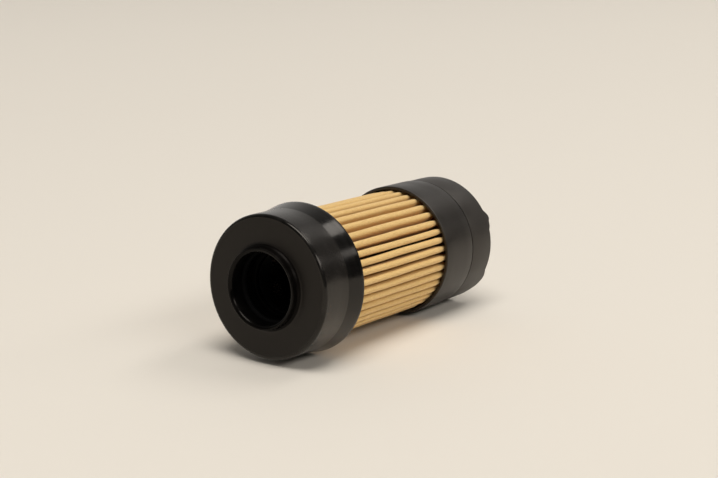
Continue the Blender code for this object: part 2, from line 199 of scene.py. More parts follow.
def black_plastic(name, dark, light, rough, skin, lines, gloss):
    """Moulded black plastic: mottled sheen, a fine skin texture, tool lines and rubbed edges."""
    mottle_scale = 140.0
    grain_scale = 9000.0
    worn_colour = (0.06, 0.056, 0.05, 1.0)
    made, nodes = new_material(name, dark, rough)
    cloud = nodes.noise(nodes.scaled((1, 1, 1)), mottle_scale, 4.0, 0.6)
    grain = nodes.noise(nodes.scaled((1, 1, 1)), grain_scale, 2.0, 0.5)
    streak = line_height(nodes, nodes.along(), 0.00022)
    ring = line_height(nodes, nodes.radius(), 0.00025)
    dull = nodes.ramp(line_height(nodes, nodes.along(), 0.0007, 1.0), 0.5, 0.6)
    edge = nodes.add("ShaderNodeAttribute", attribute_name="edge").outputs["Fac"]
    rub = nodes.maths("MULTIPLY", edge, nodes.ramp(cloud, 0.42, 0.62))
    colour = nodes.blend(nodes.ramp(cloud, 0.35, 0.7), (*dark, 1.0), (*light, 1.0))
    nodes.shade("Base Color", nodes.blend(nodes.maths("MULTIPLY", rub, 0.14), colour, worn_colour))
    nodes.shade("Specular IOR Level", gloss)
    nodes.shade("Specular Tint", (1.0, 0.93, 0.86, 1.0))
    rougher = nodes.ramp(cloud, 0.3, 0.7, rough - 0.04, rough + 0.05)
    rougher = nodes.maths("MULTIPLY_ADD", nodes.ramp(grain, 0.3, 0.7), 0.05, rougher)
    rougher = nodes.maths("MULTIPLY_ADD", rub, 0.04, rougher)
    nodes.shade("Roughness", nodes.maths("MULTIPLY_ADD", dull, lines * 0.14, rougher))
    normal = nodes.bump(grain, skin, 0.00002)
    normal = nodes.bump(streak, lines, 0.00002, normal)
    nodes.shade("Normal", nodes.bump(ring, lines * 0.5, 0.00001, normal))
    return made


def filter_paper():
    """Tan resin-treated paper: long fibres, specks, a slightly felted skin, with painted shade in the
    grooves and on the inner folds.
    """
    made, nodes = new_material("filter_paper", (0.70, 0.45, 0.18), 0.85)
    fibres = nodes.noise(nodes.scaled((500, 2600, 2600)), 1.0, 5.0, 0.65)
    cross = nodes.noise(nodes.scaled((2600, 900, 900)), 1.0, 4.0, 0.6)
    cloud = nodes.noise(nodes.scaled((60, 180, 180)), 1.0, 3.0, 0.5)
    specks = nodes.noise(nodes.scaled((1, 1, 1)), 2400.0, 1.0, 0.4)
    colour = nodes.blend(nodes.ramp(fibres, 0.3, 0.7), (0.675, 0.43, 0.15, 1), (0.785, 0.555, 0.24, 1))
    colour = nodes.blend(nodes.ramp(cloud, 0.35, 0.65, 0.0, 0.35), colour, (0.715, 0.47, 0.17, 1))
    colour = nodes.blend(nodes.ramp(specks, 0.66, 0.74, 0.0, 0.5), colour, (0.38, 0.20, 0.06, 1))
    colour = nodes.blend(nodes.ramp(specks, 0.33, 0.26, 0.0, 0.45), colour, (0.86, 0.68, 0.40, 1))
    # Painted shade: below the tips the paper turns darker and deeper in colour down into the grooves
    # between pleats
    painted_groove_shade = nodes.ramp(nodes.radius(), 17.0 * MM, 19.2 * MM, 0.75, 0.0)
    colour = nodes.blend(painted_groove_shade, colour, (0.60, 0.32, 0.05, 1))
    # Painted shade: the inner folds next to the core are turned nearly black
    painted_inner_shade = nodes.ramp(nodes.radius(), 10.9 * MM, 12.0 * MM, 1.0, 0.0)
    colour = nodes.blend(painted_inner_shade, colour, (0.05, 0.025, 0.010, 1))
    nodes.shade("Base Color", colour)
    nodes.shade("Roughness", nodes.ramp(fibres, 0.3, 0.7, 0.78, 0.95))
    nodes.shade("Sheen Weight", 0.15)
    nodes.shade("Sheen Roughness", 0.5)
    normal = nodes.bump(fibres, 0.55, 0.00006)
    normal = nodes.bump(cross, 0.35, 0.00005, normal)
    nodes.shade("Normal", normal)
    return made


def rubber():
    """Black nitrile with a dusty bloom."""
    made, nodes = new_material("nitrile_rubber", (0.002, 0.002, 0.0021), 0.85)
    cloud = nodes.noise(nodes.scaled((1, 1, 1)), 900.0, 4.0, 0.6)
    nodes.tones(cloud, 0.4, 0.75, (0.0015, 0.0015, 0.0016), (0.004, 0.0039, 0.0038))
    nodes.shade("Specular IOR Level", 0.08)
    nodes.shade("Roughness", nodes.ramp(cloud, 0.3, 0.7, 0.75, 0.95))
    nodes.shade("Normal", nodes.bump(cloud, 0.2, 0.00003))
    return made


def adhesive():
    """Cured amber-brown resin."""
    made, nodes = new_material("adhesive", (0.20, 0.11, 0.045), 0.35)
    cloud = nodes.noise(nodes.scaled((1, 1, 1)), 500.0, 3.0, 0.5)
    nodes.tones(cloud, 0.3, 0.7, (0.14, 0.075, 0.03), (0.28, 0.16, 0.07))
    nodes.shade("Roughness", nodes.ramp(cloud, 0.3, 0.7, 0.25, 0.5))
    nodes.shade("Normal", nodes.bump(cloud, 0.4, 0.0001))
    return made


def metal(name, colour, dull, rough, pitch):
    """Turned or drawn metal with fine lines round the axis and slight staining."""
    made, nodes = new_material(name, colour, rough, 1.0)
    cloud = nodes.noise(nodes.scaled((1, 1, 1)), 700.0, 4.0, 0.6)
    faces = line_height(nodes, nodes.radius(), pitch)
    walls = line_height(nodes, nodes.along(), pitch)
    nodes.tones(cloud, 0.45, 0.75, colour, dull)
    nodes.shade("Roughness", nodes.ramp(cloud, 0.3, 0.7, rough - 0.06, rough + 0.12))
    nodes.shade("Normal", nodes.bump(nodes.maths("ADD", faces, walls), 0.25, 0.00001))
    return made


def acetal():
    """Natural off-white acetal, slightly waxy."""
    made, nodes = new_material("natural_plastic", (0.78, 0.75, 0.66), 0.4)
    cloud = nodes.noise(nodes.scaled((1, 1, 1)), 400.0, 3.0, 0.5)
    nodes.tones(cloud, 0.3, 0.7, (0.74, 0.70, 0.60), (0.82, 0.79, 0.71))
    nodes.shade("Roughness", nodes.ramp(cloud, 0.3, 0.7, 0.32, 0.48))
    nodes.shade("Subsurface Weight", 0.15)
    nodes.shade("Subsurface Scale", 0.001)
    nodes.shade("Normal", nodes.bump(line_height(nodes, nodes.radius(), 0.0002), 0.15, 0.00001))
    return made


# ------------------------------------------------------------------- shapes

SHARP_ANGLE = math.radians(32)


def arc(station, radius, size, start, end, steps=8, edge=0.0):
    """Outline points round a corner; 0 degrees points along +X and 90 degrees outwards."""
    points = []
    for step in range(steps + 1):
        angle = math.radians(start + (end - start) * step / steps)
        points.append((station + size * math.cos(angle), radius + size * math.sin(angle), edge))
    return points


def link(name, bm, materials, body, replaced, edges=None):
    """Make an object of a bmesh, and say what it rides on and stands for."""
    mesh = bpy.data.meshes.new(name)
    bm.to_mesh(mesh)
    bm.free()
    for made in materials:
        mesh.materials.append(made)
    if edges is not None:
        attribute = mesh.attributes.new("edge", "FLOAT", "POINT")
        attribute.data.foreach_set("value", edges)
    mesh.shade_smooth()
    mesh.set_sharp_from_angle(angle=SHARP_ANGLE)
    piece = bpy.data.objects.new(name, mesh)
    bpy.context.scene.collection.objects.link(piece)
    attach(piece, body)
    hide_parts(*replaced)
    return piece


def bridge(bm, one, two):
    """Faces between two closed rings of equal count."""
    count = len(one)
    for side in range(count):
        other = (side + 1) % count
        bm.faces.new((one[side], one[other], two[other], two[side]))


def lathe(name, outline, materials, replaced, body=ROOT, sides=192, parts=None):
    """Turn an outline of (station, radius[, edge wear]) round the axis.

    parts gives the material of a face from the station and radius of its middle.
    """
    bm = bmesh.new()
    points = [(p[0], p[1], p[2] if len(p) > 2 else 0.0) for p in outline]
    solid = points[0][1] == 0.0
    rings = []
    edges = []
    for station, radius, edge in points:
        count = 1 if radius == 0.0 else sides
        angles = [TURN * side / sides for side in range(count)]
        rings.append([bm.verts.new(to_world(station, radius, angle)) for angle in angles])
        edges.extend([edge] * count)
    pairs = list(zip(range(len(points)), range(1, len(points))))
    if not solid:
        pairs.append((len(points) - 1, 0))
    for one, two in pairs:
        index = 0
        if parts is not None:
            middle = [(points[one][axis] + points[two][axis]) / 2 for axis in (0, 1)]
            index = parts(*middle)
        for side in range(sides):
            other = (side + 1) % sides
            a, b = rings[one], rings[two]
            if len(a) == 1:
                corners = (a[0], b[other], b[side])
            elif len(b) == 1:
                corners = (a[side], a[other], b[0])
            else:
                corners = (a[side], a[other], b[other], b[side])
            bm.faces.new(corners).material_index = index
    bmesh.ops.recalc_face_normals(bm, faces=bm.faces)
    return link(name, bm, materials, body, replaced, edges)


# ---------------------------------------------------------------- near cap

# The near cap's looks, in the order of its material slots; the bore, collar and collar side looks are
# darker copies of the plastic, as painted shade
NEAR_LOOKS = ("cap_satin", "cap_gloss", "cap_face", "cap_bore_shade", "collar", "collar_side_shade")
SATIN, GLOSS, FACE, BORE_SHADE, COLLAR, COLLAR_SIDE_SHADE = range(len(NEAR_LOOKS))


def near_cap(plastics):
    """The open cap. Its side is satin; the flared band and the face's edge are glossier; its bore, inside
    and collar take darker copies of the plastic as painted shade.
    """
    bore = 10.8
    throat = 9.4
    collar = 12.2
    inner_lip = 1.15
    outer_lip = 0.25
    foot = 1.5
    face = 21.8
    face_edge = 1.0
    waist = 11.3
    waist_radius = 21.9
    rim_edge = 0.25
    mouth = 20.6
    mouth_edge = 0.2
    pocket = 8.7
    relief_floor = 3.0
    relief_inner = 15.6
    relief_outer = 19.6
    step = 7.0
    margin = 0.3
    groove_front = 2.2
    groove_back = 5.0
    groove_radius = 12.9
    flare_end = NEAR_RIM - rim_edge
    flare_steps = 8
    outline = arc(inner_lip - COLLAR_HEIGHT, bore + inner_lip, inner_lip, 270, 180, 12, 0.3)
    outline += arc(outer_lip - COLLAR_HEIGHT, collar - outer_lip, outer_lip, 180, 90, 5, 0.6)
    outline += arc(-foot, collar + foot, foot, -90, 0, 10)
    outline += [(0.0, 16.0), (0.0, 20.4)]
    outline += arc(face_edge, face - face_edge, face_edge, 180, 90, 12, 1.0)
    outline += [(3.0, face + 0.02), (7.0, face + 0.05), (waist - 0.15, waist_radius - 0.02)]
    outline += [(waist, waist_radius, 0.6), (waist + 0.15, waist_radius + 0.03)]
    for row in range(1, flare_steps):
        t = row / flare_steps
        rise = (CAP_RADIUS - 0.02 - waist_radius) * t
        outline.append((waist + (flare_end - waist) * t, waist_radius + rise))
    outline += arc(flare_end, CAP_RADIUS - rim_edge, rim_edge, 80, 0, 5, 1.0)
    outline += arc(NEAR_RIM - mouth_edge, mouth + mouth_edge, mouth_edge, 0, -90, 3, 0.6)
    outline += [(pocket, mouth), (pocket, relief_outer), (relief_floor, relief_outer),
                (relief_floor, relief_inner), (pocket, relief_inner), (pocket, throat)]
    outline += arc(step + 0.2, throat + 0.2, 0.2, 270, 180, 3)
    outline += [(step, bore), (groove_back, bore), (groove_back, groove_radius),
                (groove_front, groove_radius), (groove_front, bore)]

    def look(station, radius):
        in_bore = station > -2.2 and radius < bore + margin
        inside = 0.0 < station < pocket + margin and radius < 20.0
        on_band = station > waist and radius > mouth + 0.9
        on_edge = 0.0 < station < face_edge - 0.05 and radius > 20.5
        # Painted shade: the bore and hidden inside take the darkest copy of the plastic, and the collar's
        # lip and side take darker copies than the face
        if in_bore or inside:
            return BORE_SHADE
        if station < -2.0 and radius < collar - 0.1:
            return COLLAR
        if radius < collar + 0.8:
            return COLLAR_SIDE_SHADE
        if on_band or on_edge:
            return GLOSS
        return FACE if radius < 21.0 else SATIN

    looks = [plastics[name] for name in NEAR_LOOKS]
    return lathe("near_cap", outline, looks, ["near_end_cap"], sides=256, parts=look)


# ---------------------------------------------------------------- far end

# The tabs on the cover's rim: (degrees from the top towards the -Y side, height in millimetres)
NARROW_TAB = ((56.3, 0.0), (59.0, 0.85), (61.6, 1.5), (63.5, 1.65), (65.2, 1.55), (67.0, 1.05),
              (72.0, 0.65), (75.0, 0.0))
WIDE_TAB = ((114.0, 0.0), (118.0, 0.9), (121.0, 1.5), (126.0, 1.88), (135.0, 1.75), (137.0, 1.35),
            (138.6, 0.7), (141.0, 0.6), (145.0, 0.0))


def far_cap(skin):
    """The cap behind the paper, with a crisp front lip and a narrow gap before the cover."""
    mouth = 20.1
    mouth_edge = 0.15
    lip_edge = 0.25
    shoulder_edge = 0.3
    bore = 19.5
    throat = 9.4
    floor = 73.0
    floor_back = 76.0
    straight = 4.0
    outline = arc(FAR_LIP + mouth_edge, mouth + mouth_edge, mouth_edge, 270, 180, 3, 0.5)
    outline += arc(FAR_LIP + lip_edge, FAR_RADIUS - lip_edge, lip_edge, 180, 90, 5, 1.0)
    outline += [(FAR_LIP + straight, FAR_RADIUS), (FAR_SHOULDER - straight, FAR_RADIUS)]
    outline += arc(FAR_SHOULDER - shoulder_edge, FAR_RADIUS - shoulder_edge, shoulder_edge, 90, 0, 5, 1.0)
    outline += [(FAR_SHOULDER, bore), (floor_back, bore), (floor_back, throat), (floor, throat),
                (floor, mouth)]
    return lathe("far_cap", outline, [skin], ["far_end_cap"], sides=256)


def rim_height(angle):
    """How far the cover's rim stands behind its flat end at an angle in degrees: two pairs of tabs."""
    turned = angle % 180.0
    height = 0.0
    for profile in (NARROW_TAB, WIDE_TAB):
        if profile[0][0] < turned < profile[-1][0]:
            height = float(np.interp(turned, *zip(*profile)))
    return height


def end_cover(skin):
    """The valve housing: plugs into the far cap, with bayonet tabs on its rim."""
    cavity = 16.2
    spigot = 19.2
    groove = 17.4
    groove_front = 78.8
    groove_back = 80.9
    ring_groove = 17.5
    ring_front = 85.2
    ring_back = 86.9
    recess = 17.8
    recess_edge = 0.25
    rim_edge = 0.45
    end = 94.65
    wall_front = 88.6
    wall_back = 91.6
    port = 7.3
    shoulder = 83.0
    shoulder_radius = 20.9
    shoulder_edge = 0.12
    front = to_station(COVER_LOW.x)
    sides = 720
    outline = [(front, cavity), (front, spigot - 0.3), (front + 0.3, spigot), (groove_front, spigot),
               (groove_front, groove), (groove_back, groove), (groove_back, spigot), (shoulder, spigot)]
    outline += arc(shoulder + shoulder_edge, shoulder_radius - shoulder_edge, shoulder_edge,
                   180, 90, 4, 0.6)
    outline += [(end - 3.0, COVER_RADIUS + 0.03), (end - 1.2, COVER_RADIUS)]
    rim_start = len(outline)
    outline += arc(end - rim_edge, COVER_RADIUS - rim_edge, rim_edge, 90, 0, 6, 1.0)
    outline += arc(end - recess_edge, recess + recess_edge, recess_edge, 0, -90, 4, 0.8)
    rim_end = len(outline)
    outline += [(end - 1.4, recess)]
    outline += arc(wall_back + 0.3, recess - 0.3, 0.3, 90, 180, 3)
    outline += arc(wall_back - 0.2, port + 0.2, 0.2, 0, -90, 3, 0.4)
    outline += [(wall_front, port), (wall_front, cavity), (ring_back, cavity), (ring_back, ring_groove),
                (ring_front, ring_groove), (ring_front, cavity)]
    cover = lathe("end_cover_shell", outline, [skin], ["end_cover"], sides=sides)
    verts = cover.data.vertices
    for row in range(rim_start, rim_end):
        for side in range(sides):
            verts[row * sides + side].co.x += rim_height(360.0 * side / sides) * MM
    return cover


# -------------------------------------------------------------- pleat pack

# How many pleats, the paper's thickness, and the radius that the folds come down to
PLEATS = 40
PAPER = 0.5
CORE = 10.6

# Bend radii of the paper's middle line, and how many steps each stretch of it has
TIP = 1.01 - PAPER / 2
FOLD = 0.25 + PAPER / 2
TIP_STEPS = 12
FOLD_STEPS = 5
FLANK_STEPS = 4

# The tips narrow and sink over this length, from this far before the far cap's lip
PINCH_START = 1.8
PINCH_LENGTH = 3.0
PINCH_NARROWING = 0.4
PINCH_SINKING = 0.25

# A tip's waves as (height, how many along its length): two from side to side, and one in depth
SLOW_WAVE = (0.07, 1.3)
QUICK_WAVE = (0.03, 3.1)
DEPTH_WAVE = (0.03, 2.2)


def crowding(angle):
    """How far a pleat leans round the tube, in radians, at an angle: the pack is not quite even."""
    degrees = (math.degrees(angle) + 180.0) % 360.0 - 180.0
    angles = (-180, -60, 0, 20, 50, 100, 140, 180)
    leans = (0, -1.5, -3.6, -3.0, 0, 0, -2.8, 0)
    return math.radians(float(np.interp(degrees, angles, leans)))


def uneven_pleats():
    """Each pleat's own place, depth, width and waves, drawn once for the whole pack."""
    rng = np.random.default_rng(7)
    return {
        "shift": rng.normal(0.0, 0.10, PLEATS),
        "drop": np.abs(rng.normal(0.0, 0.10, PLEATS)).clip(0, 0.25),
        "width": rng.normal(1.0, 0.035, PLEATS).clip(0.93, 1.04),
        "phase": rng.uniform(0, TURN, (PLEATS, 3)),
    }


def ripple(wave, along, phase):
    """How high a wave stands at a share of the pack's length; the caps hold the ends still."""
    height, count = wave
    held = math.sin(math.pi * along)
    return held * height * math.sin(TURN * count * along + phase)


def tip_points(pleat, station, along, uneven):
    """The round tip of one pleat, as (distance out, distance aside) points."""
    clearance = 0.02
    pinch = min(max((station - (FAR_LIP - PINCH_START)) / PINCH_LENGTH, 0.0), 1.0) ** 2
    phase = uneven["phase"][pleat]
    sway = ripple(SLOW_WAVE, along, phase[0]) + ripple(QUICK_WAVE, along, phase[1])
    dip = uneven["drop"][pleat] + ripple(DEPTH_WAVE, along, phase[2])
    size = TIP * uneven["width"][pleat] * (1.0 - PINCH_NARROWING * pinch)
    reach = MEDIA_RADIUS - clearance - PAPER / 2 - max(dip, 0.0) - PINCH_SINKING * pinch
    points = []
    for step in range(TIP_STEPS + 1):
        swing = math.radians(-90 + 180 * step / TIP_STEPS)
        aside = size * math.sin(swing) + uneven["shift"][pleat] + sway
        points.append((reach - size + size * math.cos(swing), aside))
    return points


def fold_points():
    """The tight fold next to the core, as (distance out, distance aside) points."""
    centre = CORE + FOLD + PAPER / 2
    points = []
    for step in range(FOLD_STEPS + 1):
        swing = math.radians(-90 + 180 * step / FOLD_STEPS)
        points.append((centre - FOLD * math.cos(swing), FOLD * math.sin(swing)))
    return points


def paper_line(station, along, uneven):
    """The paper's middle line at one station: tips, folds and the flanks between them."""
    bends = []
    for half in range(2 * PLEATS):
        middle = math.pi * half / PLEATS
        local = fold_points() if half % 2 else tip_points(half // 2, station, along, uneven)
        bend = []
        for out, aside in local:
            turn = middle + crowding(middle) + math.atan2(aside, out)
            reach = math.hypot(out, aside)
            bend.append((reach * math.sin(turn), reach * math.cos(turn)))
        bends.append(bend)
    line = []
    for bend, following in zip(bends, bends[1:] + bends[:1]):
        line.extend(bend)
        (y, z), (y2, z2) = bend[-1], following[0]
        for step in range(1, FLANK_STEPS):
            t = step / FLANK_STEPS
            line.append((y + (y2 - y) * t, z + (z2 - z) * t))
    return np.array(line)


def both_faces(line):
    """The paper's outer and inner face, half its thickness to each side of its middle line."""
    tangent = np.roll(line, -1, 0) - np.roll(line, 1, 0)
    tangent /= np.linalg.norm(tangent, axis=1)[:, None]
    outward = np.stack([-tangent[:, 1], tangent[:, 0]], 1)
    return [line + sign * outward * PAPER / 2 for sign in (1, -1)]


def pleats(paper):
    """The paper: folded round the tube with slightly uneven tips and a gentle wave along each one."""
    rows = 48
    uneven = uneven_pleats()
    bm = bmesh.new()
    outer = []
    inner = []
    for row in range(rows + 1):
        along = row / rows
        station = MEDIA_START + (MEDIA_END - MEDIA_START) * along
        x = FACE_X + station * MM
        for rings, face in zip((outer, inner), both_faces(paper_line(station, along, uneven))):
            rings.append([bm.verts.new((x, -y * MM, AXIS_HEIGHT + z * MM)) for y, z in face])
    for row in range(rows):
        for rings in (outer, inner):
            bridge(bm, rings[row], rings[row + 1])
    for row in (0, rows):
        bridge(bm, outer[row], inner[row])
    bmesh.ops.recalc_face_normals(bm, faces=bm.faces)
    return link("paper_pleats", bm, [paper], ROOT, ["pleated_media"])


# ---------------------------------------------------------- inside pieces


def ring(name, station, radius, size, look, slot, node):
    """A seal ring of round section."""
    return lathe(name, arc(station, radius, size, 0, 360, 20)[:-1], [look], [node])


def carve(piece, cutters):
    """Cut holes in a piece for good: the cutters go, and the piece keeps its materials."""
    for cutter in cutters:
        modifier = piece.modifiers.new("cut", "BOOLEAN")
        modifier.object = cutter
    bpy.context.view_layer.update()
    seen = piece.evaluated_get(bpy.context.evaluated_depsgraph_get())
    mesh = bpy.data.meshes.new_from_object(seen)
    piece.modifiers.clear()
    piece.data = mesh
    for cutter in cutters:
        bpy.data.objects.remove(cutter, do_unlink=True)
    mesh.shade_smooth()
    mesh.set_sharp_from_angle(angle=SHARP_ANGLE)


def cutter_of(bm):
    """A hidden tool made of a bmesh."""
    bmesh.ops.recalc_face_normals(bm, faces=bm.faces)
    mesh = bpy.data.meshes.new("cutter")
    bm.to_mesh(mesh)
    bm.free()
    tool = bpy.data.objects.new("cutter", mesh)
    bpy.context.scene.collection.objects.link(tool)
    return tool


def drills(lines, size):
    """Round tools, each along a line between two world points."""
    bm = bmesh.new()
    for start, end in lines:
        along = end - start
        place = Matrix.Translation((start + end) / 2) @ along.to_track_quat("Z", "Y").to_matrix().to_4x4()
        bmesh.ops.create_cone(bm, cap_ends=True, segments=24, radius1=size * MM, radius2=size * MM,
                              depth=along.length, matrix=place)
    return cutter_of(bm)


def skin_rings(bm, rings):
    """Close a row of equal rings into one tube with flat ends."""
    for one, two in zip(rings, rings[1:]):
        bridge(bm, one, two)
    bm.faces.new(rings[0])
    bm.faces.new(rings[-1])
    bmesh.ops.recalc_face_normals(bm, faces=bm.faces)


def sector(bm, stations, radii, span, steps):
    """A block between two stations, two radii and two angles in degrees, added to a bmesh."""
    rows = []
    for step in range(steps + 1):
        angle = math.radians(span[0] + (span[1] - span[0]) * step / steps)
        corners = ((stations[0], radii[0]), (stations[0], radii[1]), (stations[1], radii[1]),
                   (stations[1], radii[0]))
        rows.append([bm.verts.new(to_world(station, radius, angle)) for station, radius in corners])
    for one, two in zip(rows, rows[1:]):
        bridge(bm, one, two)
    bm.faces.new(rows[0])
    bm.faces.new(rows[-1])


def open_ring(name, stations, radii, span, look, node, body=ROOT):
    """A flat spring ring with a gap in it, its edges slightly broken."""
    bm = bmesh.new()
    sector(bm, stations, radii, span, 120)
    bmesh.ops.recalc_face_normals(bm, faces=bm.faces)
    sharp = [edge for edge in bm.edges if len(edge.link_faces) == 2 and edge.calc_face_angle() > 1.0]
    bmesh.ops.bevel(bm, geom=sharp, offset=0.05 * MM, segments=2, affect="EDGES", profile=0.5)
    return link(name, bm, [look], body, [node])


def core_tube(core_steel):
    """The perforated core, with every other row of holes turned by half a pitch."""
    outer = 10.2
    inner = 9.6
    start = 9.0
    end = 72.7
    edge = 0.1
    rows = 8
    columns = 6
    hole = 2.2
    outline = [(start, inner)] + arc(start + edge, outer - edge, edge, 180, 90, 2, 0.8)
    outline += arc(end - edge, outer - edge, edge, 90, 0, 2, 0.8) + [(end, inner)]
    tube = lathe("core_tube", outline, [core_steel], ["support_tube"], sides=96)
    lines = []
    for row in range(rows):
        station = start + (end - start) * (row + 1) / (rows + 1)
        for column in range(columns):
            angle = TURN * (column + 0.5 * (row % 2)) / columns
            lines.append((to_world(station, inner - 1.0, angle), to_world(station, outer + 1.0, angle)))
    carve(tube, [drills(lines, hole)])


def cage(skin):
    """The cage round the valve: four windows in its wall and six vents in its plate."""
    plate_front = 66.0
    plate_back = 67.5
    plate_edge = 0.4
    guide = 1.9
    outer = 9.1
    inner = 8.1
    flange = 15.8
    flange_front = 86.9
    flange_back = 88.3
    flange_edge = 0.2
    windows = 4
    window_stations = (70.0, 84.5)
    half_window = 22.0
    vents = 6
    vent_circle = 6.6
    outline = [(plate_front, guide)]
    outline += arc(plate_front + plate_edge, outer - plate_edge, plate_edge, 180, 90, 4, 0.6)
    outline += [(flange_front, outer), (flange_front, flange - flange_edge),
                (flange_front + flange_edge, flange), (flange_back - flange_edge, flange),
                (flange_back, flange - flange_edge), (flange_back, inner), (plate_back, inner),
                (plate_back, guide)]
    made = lathe("cage_body", outline, [skin], ["valve_cage"], sides=96)
    blocks = bmesh.new()
    for window in range(windows):
        middle = 360.0 / windows * (window + 0.5)
        span = (middle - half_window, middle + half_window)
        sector(blocks, window_stations, (inner - 1.0, outer + 1.0), span, 12)
    lines = []
    for vent in range(vents):
        angle = TURN * vent / vents
        start = to_world(plate_front - 1.0, vent_circle, angle)
        lines.append((start, to_world(plate_back + 1.0, vent_circle, angle)))
    carve(made, [cutter_of(blocks), drills(lines, 1.0)])


def bond(name, start, look, node):
    """A disc of adhesive with a slightly raised, uneven top where the paper sits."""
    inner = 10.5
    outer = 19.78
    edge = 0.2
    crest = start + 1.38
    hollow = start + 1.25
    between = start + 1.3
    outline = [(start + edge / 2, inner), (start, inner + edge), (start, outer - 0.18),
               (start + edge, outer), (start + 1.2, outer), (crest, outer - 0.18), (between, 18.0),
               (hollow, 15.0), (between, 12.0), (crest, inner + edge), (between, inner)]
    lathe(name, outline, [look], [node], sides=192)


def seam(look):
    """The bead that closes the pack, inside one pleat."""
    middle = 16.6
    half_height = 1.78
    half_width = 0.17
    rows = 60
    around = 12
    bm = bmesh.new()
    rings = []
    for row in range(rows + 1):
        station = MEDIA_START + (MEDIA_END - MEDIA_START) * row / rows
        ring = []
        for step in range(around):
            turn = TURN * step / around
            out = middle + half_height * math.sin(turn)
            side = half_width * math.cos(turn)
            ring.append(bm.verts.new(to_world(station, out, side / out)))
        rings.append(ring)
    skin_rings(bm, rings)
    link("seam_bead", bm, [look], ROOT, ["media_seam_strip"])


def coil(look):
    """The spring: round wire with closed ends."""
    wire = 0.49
    coil_radius = 5.0
    front = 67.8
    back = 83.3
    turns = 6
    steps = 48
    around = 16
    start = front + wire
    end = back - wire
    closed = 2 * wire + 0.3
    path = []
    for index in range(turns * steps + 1):
        turned = index / steps
        rise = (end - start - 2 * closed) * min(max((turned - 1) / (turns - 2), 0.0), 1.0)
        rise += closed * (min(turned, 1.0) + max(turned - turns + 1, 0.0))
        path.append(to_world(start + rise, coil_radius, TURN * turned))
    bm = bmesh.new()
    rings = []
    for index, point in enumerate(path):
        ahead = (path[min(index + 1, len(path) - 1)] - path[max(index - 1, 0)]).normalized()
        out = Vector((0.0, point.y, point.z - AXIS_HEIGHT)).normalized()
        aside = ahead.cross(out).normalized()
        out = aside.cross(ahead)
        ring = []
        for step in range(around):
            turn = TURN * step / around
            spoke = out * math.cos(turn) + aside * math.sin(turn)
            ring.append(bm.verts.new(point + spoke * wire * MM))
        rings.append(ring)
    skin_rings(bm, rings)
    spring = link("coil_spring", bm, [look], ROOT, ["bypass_spring"])
    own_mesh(spring)


def seat(brass):
    """The brass ring that the poppet's seal closes on, with a raised lip towards it."""
    bore = 4.6
    lip = 87.1
    front = 87.5
    shoulder = 88.3
    back = 91.6
    outer = 7.0
    flange = 7.8
    outline = [(front, bore), (lip + 0.1, 5.0), (lip, 5.3), (lip, 5.8), (lip + 0.15, 6.2), (front, 6.5),
               (front, flange), (shoulder, flange), (shoulder, outer)]
    outline += arc(back - 0.2, outer - 0.2, 0.2, 90, 0, 4)
    outline += arc(back - 0.5, bore + 0.5, 0.5, 0, -90, 5)
    return lathe("seat_ring", outline, [brass], ["valve_seat"])


def poppet(plastic, steel, black_rubber):
    """The poppet's stem and disc, its seal washer and the push nut that holds the washer."""
    stem = 1.6
    stem_front = 62.5
    stem_tip = 0.4
    clip_groove = (63.9, 65.1)
    clip_radius = 1.1
    disc = 7.6
    disc_front = 83.6
    disc_back = 85.0
    disc_edge = 0.2
    fillet = 0.7
    pin = 1.7
    pin_back = 88.4
    outline = [(stem_front, 0.0), (stem_front, stem - stem_tip)]
    outline += arc(stem_front + stem_tip, stem - stem_tip, stem_tip, 180, 90, 4)
    outline += [(clip_groove[0], stem), (clip_groove[0], clip_radius), (clip_groove[1], clip_radius),
                (clip_groove[1], stem), (disc_front - fillet, stem)]
    outline += arc(disc_front - fillet, stem + fillet, fillet, -90, 0, 5)
    outline += arc(disc_front + disc_edge, disc - disc_edge, disc_edge, 180, 90, 4)
    outline += arc(disc_back - disc_edge, disc - disc_edge, disc_edge, 90, 0, 4)
    outline += [(disc_back, pin), (pin_back - 0.4, pin)] + arc(pin_back - 0.4, pin - 0.4, 0.4, 90, 0, 5)
    outline += [(pin_back, 0.0)]
    lathe("poppet_body", outline, [plastic], ["bypass_poppet"], VALVE, 96)
    bore = 2.0
    washer = [(85.3, bore)] + arc(85.5, 7.0, 0.2, 180, 90, 3) + arc(86.6, 7.0, 0.2, 90, 0, 3)
    washer += [(86.8, bore)]
    lathe("poppet_seal_washer", washer, [black_rubber], ["poppet_seal"], VALVE, 96)
    nut = [(87.1, bore), (87.1, 3.8)] + arc(87.7, 3.6, 0.2, 90, 0, 3) + [(87.9, 2.8), (87.5, bore)]
    lathe("seal_push_nut", nut, [steel], ["seal_retainer"], VALVE, 96)


# ----------------------------------------------------------- stage and light


